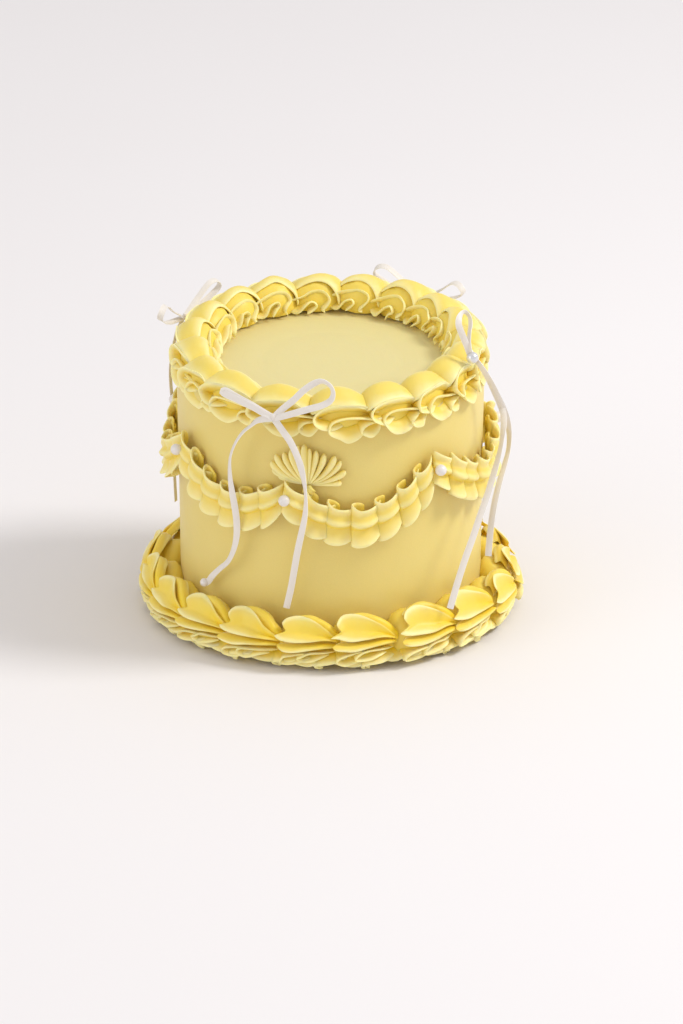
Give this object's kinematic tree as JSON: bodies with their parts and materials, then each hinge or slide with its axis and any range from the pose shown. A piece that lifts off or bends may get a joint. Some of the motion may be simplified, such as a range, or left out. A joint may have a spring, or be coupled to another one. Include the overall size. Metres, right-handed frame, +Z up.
{
  "type": "lambeth cake",
  "caption": "Round uncut cake in yellow buttercream with piped ruffle shell borders at top and foot, pleated swags on the side, a piped fan, sugar pearls and satin ribbon bows.",
  "frame": {"origin": "middle of the cake's flat underside", "axes": "+Z up along the cake's axis, -Y towards the side that the picture shows, +X to its right"},
  "size_m": [0.1933, 0.1941, 0.1698],
  "materials": {
    "buttercream": "smooth soft buttercream, close to matte",
    "piped_cream": "piped buttercream with a faint sheen on its edges",
    "satin_ribbon": "white satin",
    "sugar_pearl": "pearly sugar, glossy"
  },
  "bodies": {
    "root": {"cake": "buttercream", "top_border": "piped_cream", "base_border": "piped_cream", "swag_1": "piped_cream", "swag_2": "piped_cream", "swag_3": "piped_cream", "swag_4": "piped_cream", "swag_5": "piped_cream", "swag_6": "piped_cream", "swag_7": "piped_cream", "fan": "piped_cream", "pearl_1": "sugar_pearl", "pearl_2": "sugar_pearl", "pearl_3": "sugar_pearl", "pearl_4": "sugar_pearl", "pearl_5": "sugar_pearl", "pearl_6": "sugar_pearl", "pearl_7": "sugar_pearl", "pearl_bow_right": "sugar_pearl", "pearl_tail_front": "sugar_pearl", "bow_front": "satin_ribbon", "bow_right": "satin_ribbon", "bow_back_right": "satin_ribbon", "bow_back_left": "satin_ribbon"}
  },
  "joints": []
}
